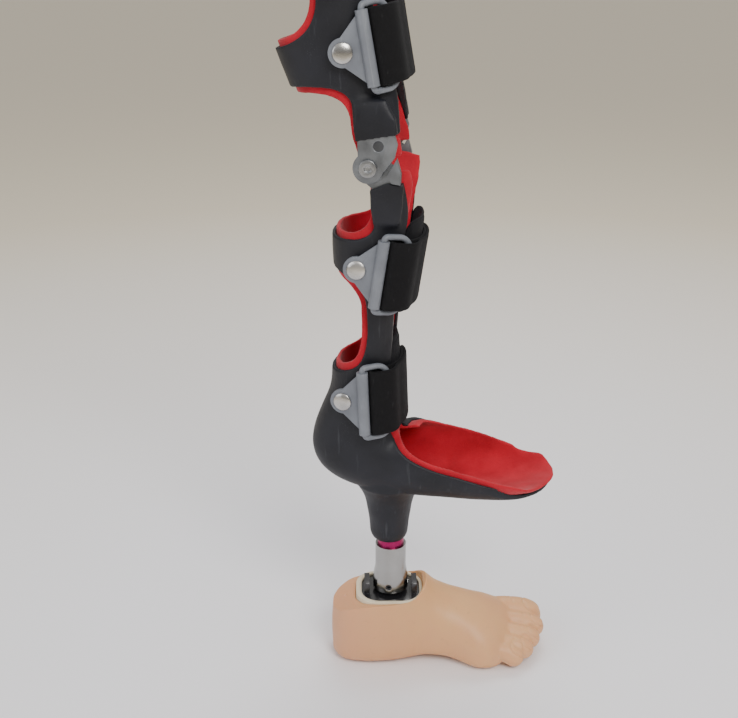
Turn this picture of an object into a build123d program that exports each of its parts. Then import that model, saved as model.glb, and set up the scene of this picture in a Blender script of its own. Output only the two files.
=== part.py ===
"""Prosthetic leg of a child: an extension prosthesis with a foot tray, a calf band and thigh bands.

Frame: millimetres, origin on the floor under the axis of the ankle tube. +X points to the toes, +Y to
the inner (medial) side of this right leg and +Z up. The outer (lateral) side is at negative Y.
"""

import math
import os

from build123d import *

os.makedirs("parts", exist_ok=True)

# ---------------------------------------------------------------- driving dimensions
SHELL = 3.0  # wall of the black laminate
LINER = 3.0  # wall of the red foam lining
GLUE_GAP = 0.12  # between the laminate and its lining
LIP = 4.5  # how far the lining shows beyond the laminate at an edge
SLACK = 0.3  # gap between parts that move past each other

PIVOT = (-13.0, 411.0)  # knee axis, X and Z
THIGH_TILT = -10.0  # the thigh leans back this much going up

HEAD_RADIUS = 10.5  # rounded head of the knee joint
BAR = 3.0  # thickness of the steel knee bars
UPPER_BAR_Y = 42.7  # middle plane of the upper bar's head
LOWER_BAR_Y = 39.4  # middle plane of the lower bar's eye
PIN_RADIUS = 3.0
RUNNING_FIT = 0.07

STRAP_WIDTH = 50.0
STRAP = 2.2  # one layer of webbing
STRAP_LIFT = 0.5  # from the strap's oval to its inner face
WIRE = 2.2  # radius of the strap ring's wire
RING_REACH = 20.0  # from the chafe tube to the front bar of the ring
RING_INNER = 51.0  # clear height inside the ring
TUBE_RADIUS = 4.2
CHAFE = 2.6  # thickness of the chafe plate
CHAFE_RADIUS = 9.5  # round end of the chafe, about its rivet
CHAFE_REACH = 16.5  # from the rivet to the chafe tube
RIVET_HEAD = 6.75
RIVET_PIN = 2.0
SPLIT_RADIUS = 33.0  # the strap parts here, about the chafe tube
PAD = 4.0

FOOT_YAW = 7.0
LEDGE_Z = 57.0  # flat top at the rear of the foot
DOME_CENTRE_Z = 45.0
DOME_RADIUS = 16.0
RECEIVER_BASE_Z = 60.5
RECEIVER_TOP_Z = 100.0
PYLON_RADIUS = 10.5
PYLON_TOP_Z = 137.0
STALK_BASE_Z = 106.0
SHELL_TOP_Z = 400.0  # end of the shank's laminate, below the knee joint

SIDES = {"lateral": -1.0, "medial": 1.0}


# ---------------------------------------------------------------- helpers
def save(part, name):
    """Write one node; several solids stay separate in it."""
    solids = part.solids()
    whole = Part() + solids if len(solids) == 1 else Compound(children=list(solids))
    export_step(whole, f"parts/{name}.step")


def largest(part):
    """The biggest solid of a part, without crumbs."""
    return Part() + max(part.solids(), key=lambda solid: solid.volume)


def superellipse(a, b, power, angle):
    """A point at an angle from the front, towards the lateral side."""
    c = math.cos(math.radians(angle))
    s = math.sin(math.radians(angle))
    x = math.copysign(a * abs(c) ** (2 / power), c)
    y = -math.copysign(b * abs(s) ** (2 / power), s)
    return (x, y)


def oval(a, b, power):
    """A face with a superellipse for its outline."""
    points = [superellipse(a, b, power, 22.5 * k) for k in range(16)]
    return make_face(Spline(*points, periodic=True))


def cylinder_between(start, end, radius):
    """A round bar from one point to another."""
    axis = Vector(*end) - Vector(*start)
    plane = Plane(origin=start, z_dir=axis)
    return extrude(plane * Circle(radius), amount=axis.length)


def side_cut(points, closing, gap, y_from, y_to):
    """A cutter through Y, bounded by a smooth edge and straight closing lines, in the XZ plane.

    The void is on the right of the edge's travel, and the edge moves into it by gap.
    """
    moved = []
    last = len(points) - 1
    for k, (x, z) in enumerate(points):
        before = points[max(k - 1, 0)]
        after = points[min(k + 1, last)]
        dx = after[0] - before[0]
        dz = after[1] - before[1]
        length = math.hypot(dx, dz)
        moved.append((x + gap * dz / length, z - gap * dx / length))
    outline = Spline(*moved) + Polyline(moved[-1], *closing, moved[0])
    face = Plane(origin=(0, y_from, 0), x_dir=(1, 0, 0), z_dir=(0, -1, 0)) * make_face(outline)
    return extrude(face, amount=-(y_to - y_from))


def loft_form(stations, inset, overrun=(0, 0)):
    """A leg form through oval stations of middle, half depth, tilt, half width, shift and power.

    The first and last stations move out by overrun, in Z and X, for a cutter.
    """
    stations = [list(station) for station in stations]
    stations[0][1] += overrun[0]
    stations[-1][0] += overrun[1]
    faces = []
    for x, z, half_depth, tilt, half_width, y, power in stations:
        t = math.radians(tilt)
        front = (math.cos(t), 0, -math.sin(t))
        up = (math.sin(t), 0, math.cos(t))
        plane = Plane(origin=(x, y, z), x_dir=front, z_dir=up)
        faces.append(plane * oval(half_depth - inset, half_width - inset, power))
    return loft(faces)


# ---------------------------------------------------------------- forms of the leg
# middle X, middle Z, half depth, tilt, half width, Y shift, power of the oval
SHANK_STATIONS = [
    (-7, 428, 31, 8, 40.5, 0, 2.6),
    (-9, 400, 32, 8, 40.0, 0, 2.6),
    (-11, 370, 32, 8, 38.5, 0, 2.5),
    (-14, 335, 29.5, 8.5, 36.5, 0, 2.4),
    (-17, 300, 25.5, 6, 33.5, 0, 2.3),
    (-19.5, 262, 25.5, 2, 30.5, 0, 2.3),
    (-22, 233, 26.5, -2.5, 29.5, 0, 2.3),
    (-16, 183.5, 34.4, -38.8, 29, 0, 2.4),
    (31, 180, 30, -87.8, 30, 0, 2.7),
    (62, 180, 30, -90, 32.5, 1, 2.8),
    (94, 180, 28, -92, 34.5, 2, 2.8),
    (119, 184, 26, -94, 34, 3, 2.8),
    (139, 190, 23, -94, 33, 3, 2.8),
]

# the same, in the thigh's own frame: origin on the knee axis, Z up along the thigh
THIGH_STATIONS = [
    (-1, 2, 35, 0, 40.3, 0, 2.8),
    (-5, 30, 37, 0, 40.8, 0, 2.8),
    (-9, 54, 38.5, 0, 41.5, 0, 2.7),
    (-12, 85, 42, 0, 42.5, 0, 2.5),
    (-14.5, 130, 45.5, 0, 45, 0, 2.4),
    (-15.5, 170, 48.5, 0, 47.5, 0, 2.3),
    (-16, 218, 51, 0, 50, 0, 2.3),
]

# edges of the laminate, each with the void on the right of its travel
KNEE_SPACE_EDGE = [(-9, 425), (-8.5, 402), (-7, 385), (-9, 371), (-17, 362), (-32, 358.5), (-66, 358)]
ANKLE_SPACE_EDGE = [(-66, 336), (-34, 333), (-24, 327), (-17, 317), (-15, 303), (-15, 288)]
ANKLE_SPACE_EDGE += [(-17, 274), (-22, 263.5), (-32, 257.5), (-66, 253)]
SHANK_FRONT = [(-2, 225), (0, 250), (1, 267), (2.5, 290), (4, 310), (6, 330), (9, 350), (12, 366), (13, 382)]
SHANK_FRONT += [(10, 402), (8, 425)]
TRAY_RIM = {
    "lateral": [(150, 178), (124, 170), (100, 166), (75, 170), (55, 175), (34, 180), (16, 188), (3, 202)],
    "medial": [(150, 178), (126, 171), (108, 170), (84, 177.5), (59, 187), (36, 194), (17, 202), (3, 212)],
}
THIGH_SPACE_EDGE = [(-90, 60), (-40, 59), (-24, 57), (-10, 50.5), (-4, 42), (-3, 32), (-2.5, 16)]
MIDDLE_SPACE_EDGE = [(-95, 153), (-46, 151), (-28, 146), (-18, 136), (-14, 120), (-17, 105), (-24, 95)]
MIDDLE_SPACE_EDGE += [(-36, 88.5), (-95, 86)]
THIGH_FRONT = [(23.5, 12), (25, 33), (25, 46), (22, 60), (20.5, 78), (20, 100), (20, 130), (20, 160)]
THIGH_FRONT += [(18, 182), (9, 198), (-10, 205), (-40, 206), (-100, 204)]


def shank_trimmed(form, gap):
    """Cut the shank form's windows, open front and top, moved into the void by gap."""
    form -= side_cut(KNEE_SPACE_EDGE, [(-90, 358), (-90, 470), (-9, 470)], gap, -60, 60)
    form -= side_cut(ANKLE_SPACE_EDGE, [(-90, 253), (-90, 336)], gap, -60, 60)
    for side, sign in SIDES.items():
        edge = TRAY_RIM[side] + SHANK_FRONT
        y_from, y_to = sorted((0.0, 60.0 * sign))
        form -= side_cut(edge, [(8, 470), (150, 470)], gap * 0.7, y_from, y_to)
    toe = Pos(60, 4) * Rot(0, 0, 9) * Ellipse(64 + gap, 37 + gap)
    beyond = Pos(112, 0) * Rectangle(100, 140) - toe
    form -= extrude(Pos(0, 0, 120) * beyond, amount=150)
    return form


def sector(start, end, reach):
    """A fan about the knee axis between two angles from +X, for rounded edges by the joint."""
    points = [(0, 0)]
    steps = 8
    for k in range(steps + 1):
        angle = math.radians(start + (end - start) * k / steps)
        points.append((reach * math.cos(angle), reach * math.sin(angle)))
    face = make_face(Polyline(*points, close=True))
    plane = Plane(origin=(PIVOT[0], 60, PIVOT[1]), x_dir=(1, 0, 0), z_dir=(0, -1, 0))
    return extrude(plane * face, amount=120)


def thigh_trimmed(form, gap):
    """Cut the thigh form's windows, open front and top, in the thigh's own frame."""
    form -= side_cut(THIGH_SPACE_EDGE, [(-2.5, -30), (-90, -30)], gap, -60, 60)
    form -= side_cut(MIDDLE_SPACE_EDGE, [(-110, 86), (-110, 153)], gap, -60, 60)
    form -= side_cut(THIGH_FRONT, [(-100, 260), (90, 260), (90, 12)], gap * 0.7, -60, 60)
    return form


def front_gap(low, high):
    """A cutter for the open front of a lining, from half width and height at each end."""
    (low_half, low_z), (high_half, high_z) = low, high
    low_edge = [(-low_half, low_z), (low_half, low_z)]
    high_edge = [(high_half, high_z), (-high_half, high_z)]
    outline = Polyline(*low_edge, *high_edge, close=True)
    plane = Plane(origin=(-8, 0, 0), x_dir=(0, 1, 0), z_dir=(1, 0, 0))
    return extrude(plane * make_face(outline), amount=80)


def to_thigh(shape):
    """Place a shape made in the thigh's own frame."""
    return Pos(PIVOT[0], 0, PIVOT[1]) * Rot(0, THIGH_TILT, 0) * shape


# ---------------------------------------------------------------- knee joints
def bar_solid(outline, path, thickness, sign):
    """A flat bar: its outline seen from the side, its joggle seen from the front."""
    face = make_face(Polyline(*outline, close=True))
    side_plane = Plane(origin=(0, 60 * sign, 0), x_dir=(1, 0, 0), z_dir=(0, -1, 0))
    body = extrude(side_plane * face, amount=60 * sign)
    inner = [(sign * (y - thickness / 2), z) for y, z in path]
    outer = [(sign * (y + thickness / 2), z) for y, z in reversed(path)]
    strip = make_face(Polyline(*inner, *outer, close=True))
    front_plane = Plane(origin=(-60, 0, 0), x_dir=(0, 1, 0), z_dir=(1, 0, 0))
    return body & extrude(front_plane * strip, amount=150)


def knee_disc(radius, y_from, y_to):
    """A disc about the knee axis, in the frame whose origin is on that axis."""
    return cylinder_between((0, y_from, 0), (0, y_to, 0), radius)


UPPER_HEAD = [(-5.5, 8), (-5, 12), (-3.5, 22), (-2, 41), (18, 41), (21, 24), (22.5, 12.5), (19, 4), (10.5, -4)]
UPPER_HEAD += [(0, 0)]
UPPER_PATH = [(UPPER_BAR_Y, -12), (UPPER_BAR_Y, 24), (41.6, 41)]
LOWER_OUTLINE = [(-5, -8), (0, 0), (9, 0), (15.5, 3), (22.5, -4), (22, -12), (20, -28), (19.5, -38), (4.5, -38)]
LOWER_OUTLINE += [(4.5, -28), (2, -14)]
LOWER_PATH = [(LOWER_BAR_Y, 12), (LOWER_BAR_Y, -20), (38.8, -38)]
STOP_SCREW = (9.5, 13.5)
SHOULDER = [(13.0, -4.4), (19.4, 6.6), (22.5, -4), (22, -11), (16, -10)]


def knee_joint(sign):
    """The pieces of one knee joint, placed, by name."""
    upper_y = UPPER_BAR_Y * sign
    lower_y = LOWER_BAR_Y * sign
    half = BAR / 2 * sign
    upper = bar_solid(UPPER_HEAD, UPPER_PATH, BAR, sign)
    upper += knee_disc(HEAD_RADIUS, upper_y - half, upper_y + half)
    upper -= knee_disc(PIN_RADIUS, upper_y - 2 * half, upper_y + 2 * half)
    stop_x, stop_z = STOP_SCREW
    stop_face = Plane(origin=(stop_x, upper_y + half, stop_z), z_dir=(0, -sign, 0))
    stop = loft([stop_face * Circle(3.75), stop_face.offset(1.7) * Circle(2.0)])
    stop += extrude(stop_face * Circle(2.0), amount=BAR)
    upper -= stop

    lower = bar_solid(LOWER_OUTLINE, LOWER_PATH, BAR, sign)
    lower += knee_disc(9.5, lower_y - half, lower_y + half)
    y_low, y_high = sorted((lower_y - half, upper_y + half))
    face = make_face(Polyline(*SHOULDER, close=True))
    plane = Plane(origin=(0, y_high, 0), x_dir=(1, 0, 0), z_dir=(0, -1, 0))
    lower += extrude(plane * face, amount=y_high - y_low)
    lower -= knee_disc(4.5, lower_y - 2 * half, lower_y + 2 * half)

    bushing = knee_disc(4.5, lower_y - half, lower_y + half)
    bushing -= knee_disc(PIN_RADIUS + RUNNING_FIT, lower_y - 2 * half, lower_y + 2 * half)

    head_y = upper_y + half
    back_y = lower_y - half - SLACK * sign
    screw = knee_disc(6.0, head_y, head_y + 2.0 * sign) + knee_disc(PIN_RADIUS, back_y - 1.2 * sign, head_y)
    recess = Plane(origin=(0, head_y + 2.0 * sign, 0), z_dir=(0, -sign, 0)) * RegularPolygon(2.6, 6)
    screw -= extrude(recess, amount=1.4)
    nut = knee_disc(4.6, back_y, back_y - 1.2 * sign) - knee_disc(PIN_RADIUS, back_y + sign, back_y - 3 * sign)

    place = Pos(PIVOT[0], 0, PIVOT[1])
    return {
        "upper_bar": to_thigh(upper),
        "stop_screw": to_thigh(stop),
        "pivot_screw": to_thigh(screw),
        "pivot_nut": to_thigh(nut),
        "lower_bar": place * lower,
        "bushing": place * bushing,
    }


def upper_cover(sign):
    """The laminate over the upper bar, in the thigh's frame."""
    outline = [(-5, 19), (-4.5, 44), (20.5, 44), (23.5, 30), (23.5, 19)]
    path = [(UPPER_BAR_Y - 0.6, 19), (UPPER_BAR_Y - 0.6, 26), (41.3, 44)]
    return bar_solid(outline, path, BAR + 3.2, sign)


def lower_cover(sign):
    """The laminate over the lower bar, placed."""
    outline = [(1, -15), (1.5, -30), (2, -41), (22, -41), (23, -30), (24, -11), (12, -10.5)]
    path = [(LOWER_BAR_Y, -10.5), (LOWER_BAR_Y, -21), (38.5, -41)]
    return Pos(PIVOT[0], 0, PIVOT[1]) * bar_solid(outline, path, BAR + 3.2, sign)


# ---------------------------------------------------------------- straps
class StrapPlace:
    """Where one strap goes round the leg: its level plane, its oval and its rivet."""

    def __init__(self, origin, tilt, a, b, power, rivet_angle, pad):
        t = math.radians(tilt)
        x_dir = (math.cos(t), 0, -math.sin(t))
        self.plane = Plane(origin=(origin[0], 0, origin[1]), x_dir=x_dir, z_dir=(math.sin(t), 0, math.cos(t)))
        self.a = a
        self.b = b
        self.power = power
        self.pad = pad
        # the chafe lies on the tangent midway between rivet and tube
        self.rivet = Vector(*superellipse(a, b, power, rivet_angle))
        before = Vector(*superellipse(a, b, power, rivet_angle - 12))
        self.forward = (before - self.rivet).normalized()
        self.out = Vector(self.forward.Y, -self.forward.X)
        self.rivet = self.rivet + self.out * 1.6
        self.tube = self.rivet + self.forward * CHAFE_REACH + self.out * 3.2
        self.bow = self.find_bow()

    def on_oval(self, angle, lift):
        return Vector(*superellipse(self.a + lift, self.b + lift, self.power, angle))

    def find_bow(self):
        """The ring's front bar rides over the inner layer, at the ring's reach from the tube."""
        lift = STRAP_LIFT + STRAP + 0.2 + WIRE
        best = None
        for step in range(900):
            point = self.on_oval(90 - step * 0.1, lift)
            error = abs((point - self.tube).length - RING_REACH)
            if point.X > self.tube.X and (best is None or error < best[0]):
                best = (error, point)
        return best[1]


def local_plane(place, point, z_shift=0.0, x_dir=None):
    """A plane across the strap at a point of its level plane."""
    origin = place.plane.from_local_coords(Vector(point.X, point.Y, z_shift))
    along = x_dir or place.forward
    tip = place.plane.from_local_coords(Vector(point.X + along.X, point.Y + along.Y, z_shift))
    return Plane(origin=origin, x_dir=tip - origin, z_dir=place.plane.z_dir)


def rivet_solid(tip, seat):
    """A rivet with a low domed head on its seat and its pin running to the tip."""
    out = (Vector(*seat) - Vector(*tip)).normalized()
    edge = Vector(*seat) + out * 0.9
    crown = Plane(origin=edge, z_dir=out)
    head = cylinder_between(seat, edge, RIVET_HEAD)
    head += loft([crown * Circle(RIVET_HEAD), crown.offset(1.0) * Circle(RIVET_HEAD * 0.62)])
    return head + cylinder_between(tip, seat, RIVET_PIN)


def chafe_parts(place):
    """The chafe plate with its tube, and the rivet."""
    level = local_plane(place, place.rivet)
    # in this plane X runs to the tube and -Y is outwards
    out = -1.0 if level.y_dir.Y > 0 else 1.0
    reach = CHAFE_REACH
    half_tube = 24.5
    outline = Polyline((0, 0), (0, CHAFE_RADIUS), (reach - 4, half_tube - 3.0), (reach, half_tube - 1.0),
                       (reach, 1.0 - half_tube), (reach - 4, 3.0 - half_tube), (0, -CHAFE_RADIUS), close=True)
    face = make_face(outline) + Circle(CHAFE_RADIUS)
    flat = Plane(origin=level.origin, x_dir=level.x_dir, z_dir=level.y_dir * out)
    plate = extrude(flat * face, amount=CHAFE)
    tube_centre = local_plane(place, place.tube)
    tube = extrude(tube_centre.offset(-half_tube) * Circle(TUBE_RADIUS), amount=2 * half_tube)
    bore = extrude(tube_centre.offset(-40) * Circle(WIRE + RUNNING_FIT), amount=80)
    chafe = plate + tube - bore
    base = level.origin
    outward = level.y_dir * out
    rivet = rivet_solid(base - outward * 3.6, base + outward * CHAFE)
    return chafe - rivet, rivet


def ring_solid(place):
    """A closed wire loop through the chafe tube."""
    reach = (place.bow - place.tube)
    along = reach.normalized()
    mid = place.tube + along * (RING_REACH / 2)
    level = local_plane(place, mid, 0.0, along)
    flat = Plane(origin=level.origin, x_dir=level.x_dir, z_dir=level.y_dir)
    tall = RING_INNER + 2 * WIRE
    outline = Rectangle(RING_REACH, tall)
    outline = fillet(outline.vertices().group_by(Axis.X)[0], 3.0)
    outline = fillet(outline.vertices().group_by(Axis.X)[-1], 9.0)
    path = (flat * outline).faces()[0].outer_wire()
    start = path @ 0
    profile = Plane(origin=start, z_dir=path % 0) * Circle(WIRE)
    return sweep(profile, path=path)


def band(place, lift_from, lift_to):
    """A closed flat ring of the strap's oval between two lifts."""
    outer = oval(place.a + lift_to, place.b + lift_to, place.power)
    return outer - oval(place.a + lift_from, place.b + lift_from, place.power)


def fan(place, start, end):
    """The part of the plane between two angles from the front towards the lateral side."""
    points = [(0, 0)]
    steps = 12
    for k in range(steps + 1):
        x, y = superellipse(place.a, place.b, place.power, start + (end - start) * k / steps)
        points.append((x * 2.2, y * 2.2))
    return make_face(Polyline(*points, close=True))


def strap_parts(place):
    """The strap from its medial anchor, its folded end in the ring, the pad and the medial rivet."""
    low = STRAP_LIFT
    two = low + 2 * STRAP
    over_ring = low + 2 * STRAP + 2 * WIRE + 0.5
    tube = Pos(place.tube.X, place.tube.Y)
    single = band(place, low, low + STRAP) & fan(place, 88, -100)
    double = band(place, low, two) & fan(place, 88, -35)
    far = single + double - tube * Circle(SPLIT_RADIUS + 0.4)
    far = far & Pos(place.a, 0) * Rectangle(4 * place.a, 8 * place.b)
    inner_slot = band(place, low + STRAP, low + STRAP + 2 * WIRE + 0.5)
    thick = band(place, low, over_ring) & fan(place, 88, -35) & tube * Circle(SPLIT_RADIUS)
    thick = thick - tube * Circle(TUBE_RADIUS + 1.2)
    cut = tube * Circle(RING_REACH + WIRE + 1.0)
    slot = inner_slot & cut - tube * Circle(TUBE_RADIUS + 3.4)
    fold = thick - slot
    behind = Pos(place.tube.X - 30, place.tube.Y) * Rectangle(60, 60)
    fold = fold - behind
    half = STRAP_WIDTH / 2
    level = place.plane.offset(-half)
    strap = extrude(level * far, amount=STRAP_WIDTH)
    folded = extrude(level * fold, amount=STRAP_WIDTH)
    strap = largest(strap)
    folded = largest(folded)
    pad = None
    if place.pad:
        front_of, raised, height = place.pad
        ring = band(place, low - SLACK - PAD, low - SLACK)
        ring = ring & Pos(front_of + 50, 0) * Rectangle(100, 4 * place.b)
        pad = extrude(place.plane.offset(raised - height / 2) * ring, amount=height)
    x, y = superellipse(place.a, place.b, place.power, -90)
    pin_from = place.plane.from_local_coords(Vector(x - 4, y - 2.6, 0))
    pin_mid = place.plane.from_local_coords(Vector(x - 4, y + low + STRAP, 0))
    anchor = rivet_solid(pin_from, pin_mid)
    return strap - anchor, folded, pad, anchor


# ---------------------------------------------------------------- foot
# X, half width, bottom Z, top Z and Y shift, from the heel to the roots of the toes, along the foot
FOOT_STATIONS = [
    (-46.5, 10, 10, 44, -1),
    (-43, 19, 3, 66, -1),
    (-34, 25.5, -1, 80, -1),
    (-15, 28, -1, 88, -1),
    (8, 27.5, -1, 88, 0),
    (27, 27, 2.5, 74, 1),
    (45, 28.5, 3.5, 58, 2),
    (70, 33.5, 1, 48, 1),
    (90, 36, -0.5, 39, 0),
    (102, 33, 1, 30, 0),
    (110, 28, 6, 25, 0),
]
WIDEST = 0.36  # a foot is widest at this share of its height
INSTEP_POWER = 2.1
SOLE_POWER = 3.0
# base X and Y, tip X and Y, middle height and radius of each toe, from the big toe outwards
TOES = [
    (94, 21, 114, 20, 16.5, 13.0),
    (98, 5, 118, 5, 15.0, 9.5),
    (94, -8, 113, -7.5, 13.0, 9.0),
    (88, -19, 107, -18, 11.5, 8.5),
    (80, -27.5, 99, -27, 9.5, 8.2),
]
# the top at the rear, from the heel up the front of the recess
LEDGE = [(-70, 42), (-46, 47.5), (-30, 54), (-14, LEDGE_Z), (8, LEDGE_Z), (20, 60), (28, 65), (36, 76)]


def foot_section(x, half_width, low, high, y):
    """A section across the foot: a narrow top over a flat, wide sole."""
    middle = low + WIDEST * (high - low)
    points = []
    for k in range(16):
        power = INSTEP_POWER if k <= 8 else SOLE_POWER
        rise = high - middle if k <= 8 else middle - low
        across, up = superellipse(half_width, rise, power, -22.5 * k)
        points.append((across, up))
    plane = Plane(origin=(x, y, middle), x_dir=(0, 1, 0), z_dir=(1, 0, 0))
    return plane * make_face(Spline(*points, periodic=True))


def foot_form():
    """The outer form of the soft foot, flat on the floor."""
    form = loft([foot_section(*station) for station in FOOT_STATIONS])
    for base_x, base_y, tip_x, tip_y, height, radius in TOES:
        form += cylinder_between((base_x, base_y, height + 2), (tip_x, tip_y, height), radius)
        form += Pos(tip_x, tip_y, height) * Sphere(radius)
    form -= Pos(0, 0, -20) * Box(400, 200, 40)
    form -= side_cut(LEDGE, [(36, 120), (-70, 120)], 0, -60, 60)
    return form


def foot_parts():
    """The soft foot, its keel and bolt, the foam rim and the adapter with its pyramid."""
    pocket = Pos(-1, 0, 40) * extrude(RectangleRounded(54, 48, 18), amount=60)
    keel = Pos(16, 0, 12) * extrude(RectangleRounded(92, 30, 12), amount=28)
    bolt = cylinder_between((0, 0, 6), (0, 0, 13), 6.5) + cylinder_between((0, 0, 13), (0, 0, 52), 4)
    bolt -= Plane(origin=(0, 0, 6)) * extrude(RegularPolygon(3.2, 6), amount=4)
    access = cylinder_between((0, 0, 5), (0, 0, 13), 6.5)
    core = Pos(-1, 0, 40) * extrude(RectangleRounded(54, 48, 18), amount=LEDGE_Z + 1.5 - 40)
    seat = Pos(0, 0, 48) * extrude(RectangleRounded(47, 42, 15), amount=40)
    core = core - seat - cylinder_between((0, 0, 30), (0, 0, 60), 4)
    cover = foot_form() - pocket - keel - access - cylinder_between((0, 0, 5), (0, 0, 60), 4)
    cover = largest(cover)
    keel = keel - cylinder_between((0, 0, 5), (0, 0, 60), 4) - access
    plate = Pos(0, 0, 48) * extrude(RectangleRounded(47, 42, 15), amount=9)
    dome = Pos(0, 0, DOME_CENTRE_Z) * Sphere(DOME_RADIUS) & Pos(0, 0, 70) * Box(60, 60, 30)
    lower = Plane(origin=(0, 0, 60)) * Rectangle(8.6, 8.6)
    upper = Plane(origin=(0, 0, 71)) * Rectangle(11.6, 11.6)
    plate = plate + dome + loft([lower, upper])
    plate -= cylinder_between((0, 0, 40), (0, 0, 52), 4)
    for side in (-1, 1):
        plate += Pos(19.2 * side, 0, 59) * Box(4.4, 17, 14)
    return cover, keel, bolt, core, plate


# ---------------------------------------------------------------- ankle clamp and pylon
SCREW_Z = 66.0
SCREW_RADIUS = 2.5


def receiver_parts():
    """The silver clamp that grips the pyramid below and the tube above, with its screws."""
    profile = Polyline((0, RECEIVER_BASE_Z), (14.2, RECEIVER_BASE_Z), (14.2, 70), (12.3, 80),
                       (12.3, RECEIVER_TOP_Z), (0, RECEIVER_TOP_Z), close=True)
    body = revolve(Plane.XZ * make_face(profile), Axis.Z)
    body -= Pos(0, 0, DOME_CENTRE_Z) * Sphere(DOME_RADIUS + SLACK)
    body -= cylinder_between((0, 0, 60), (0, 0, 75), 10.6)
    body -= cylinder_between((0, 0, 78), (0, 0, 110), PYLON_RADIUS + RUNNING_FIT)
    screws = []
    for quarter in range(4):
        angle = math.radians(90 * quarter)
        tip = Vector(7.7 * math.cos(angle), 7.7 * math.sin(angle), SCREW_Z)
        end = Vector(13.6 * math.cos(angle), 13.6 * math.sin(angle), SCREW_Z)
        screw = cylinder_between(tip, end, SCREW_RADIUS)
        face = Plane(origin=end, z_dir=tip - end) * RegularPolygon(1.6, 6)
        screws.append(screw - extrude(face, amount=2.5))
        body -= cylinder_between(Vector(0, 0, SCREW_Z), end + (end - tip) * 0.5, SCREW_RADIUS)
    lugs = Pos(0, 13.7, 93) * Box(9, 6, 9)
    lugs &= Pos(0, 13.7, 93) * Rot(0, 90, 0) * Cylinder(4.5, 20)
    body += lugs - cylinder_between((0, 0, 60), (0, 0, 110), 12)
    body -= Pos(0, 15, 90) * Box(1.2, 12, 30)
    clamp_screw = cylinder_between((-4.5, 14.2, 93), (6.5, 14.2, 93), 1.2)
    clamp_screw += cylinder_between((4.5, 14.2, 93), (7.0, 14.2, 93), 2.2)
    body -= clamp_screw
    pylon = cylinder_between((0, 0, 79), (0, 0, PYLON_TOP_Z), PYLON_RADIUS)
    pylon -= cylinder_between((0, 0, 78), (0, 0, PYLON_TOP_Z), PYLON_RADIUS - 2)
    anchor = cylinder_between((0, 0, 113), (0, 0, PYLON_TOP_Z + 4), PYLON_RADIUS + 1.5)
    anchor -= cylinder_between((0, 0, 112), (0, 0, PYLON_TOP_Z), PYLON_RADIUS)
    anchor += cylinder_between((0, 0, PYLON_TOP_Z + 1), (0, 0, PYLON_TOP_Z + 4), 14)
    return body, screws, clamp_screw, pylon, anchor


def stalk_solid():
    """The tapered foot of the laminate over the tube, flaring into the sole."""
    outline = [(11.9, STALK_BASE_Z), (13.6, 108), (15.5, 118), (17.3, 132), (19.2, 142), (22, 149), (27, 157)]
    edge = Spline(*outline)
    close = Polyline(outline[-1], (27, 168), (0, 168), (0, STALK_BASE_Z), outline[0])
    return Pos(-1.5, 0, 0) * revolve(Plane.XZ * make_face(edge + close), Axis.Z)


# ---------------------------------------------------------------- put together
def thigh_point(x, z):
    """A point of the thigh's own frame, placed."""
    t = math.radians(THIGH_TILT)
    return (PIVOT[0] + x * math.cos(t) + z * math.sin(t), PIVOT[1] - x * math.sin(t) + z * math.cos(t))


# body, then level plane, oval, rivet angle and the pad's first X, rise and height
STRAPS = {
    "upper_thigh": ("thigh", StrapPlace(thigh_point(-15.5, 177), THIGH_TILT, 50.4, 49.6, 2.35, 81, None)),
    "lower_thigh": ("thigh", StrapPlace(thigh_point(-11.5, 77), THIGH_TILT, 43.4, 44.2, 2.5, 83, None)),
    "calf": ("shank", StrapPlace((-13, 338), 8.5, 30.8, 38.5, 2.4, 102, (26.4, 3, 70))),
    "ankle": ("shank", StrapPlace((-22, 236.5), -2.5, 28.6, 32.0, 2.3, 108, (28.0, 14, 56))),
}


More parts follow.
